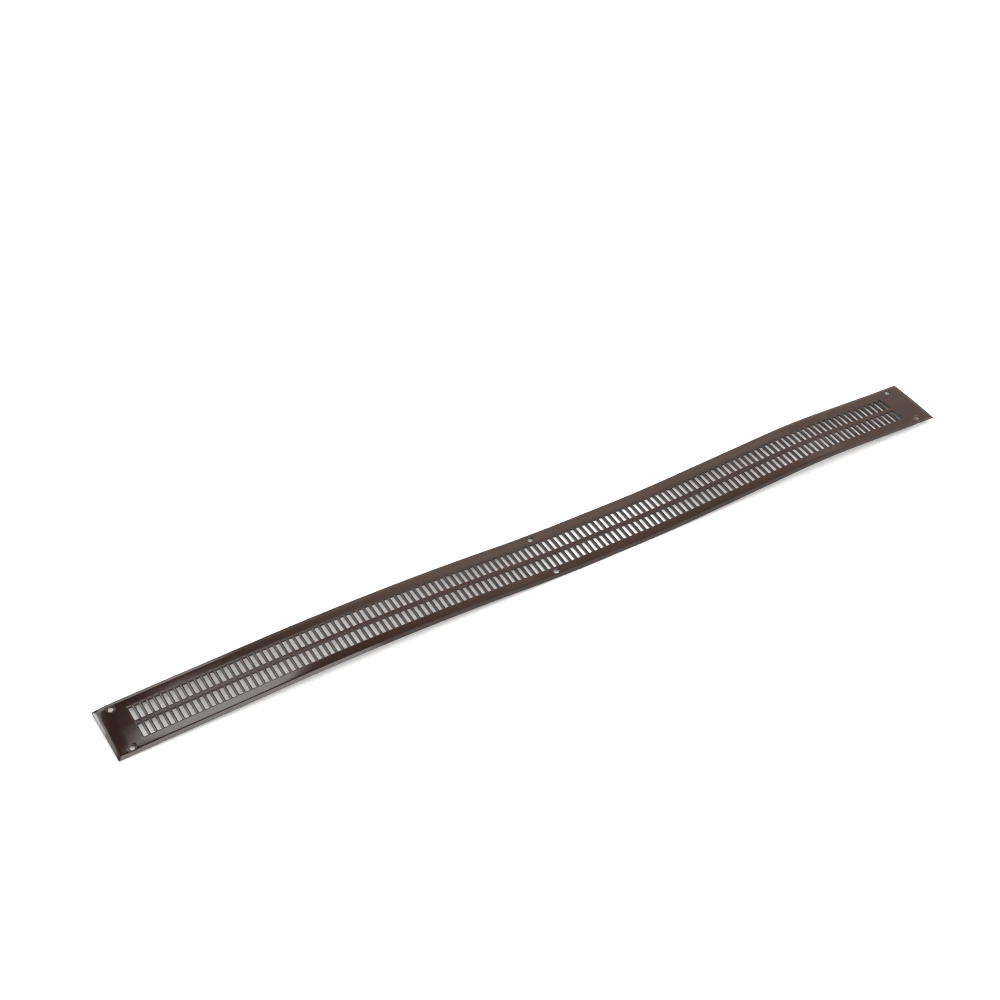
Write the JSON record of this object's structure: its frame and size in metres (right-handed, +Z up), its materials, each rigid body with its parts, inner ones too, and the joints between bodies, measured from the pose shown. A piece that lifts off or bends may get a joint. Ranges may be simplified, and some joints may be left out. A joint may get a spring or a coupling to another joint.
{
  "type": "ventilation grille strip",
  "caption": "Long pressed-metal ventilation grille strip with rows of narrow drawn slots, a turned-down rim and dimpled screw holes.",
  "frame": {"origin": "under the middle of the strip's box, on the floor it lies on", "axes": "+X along the strip, towards its right end in the picture; +Y across it; +Z up, out of the face with the dimples' mouths"},
  "size_m": [0.9992, 0.07, 0.0142],
  "materials": {
    "brown_lacquer": "satin brown lacquer on sheet metal"
  },
  "bodies": {
    "root": {"grille_strip": "brown_lacquer"}
  },
  "joints": []
}
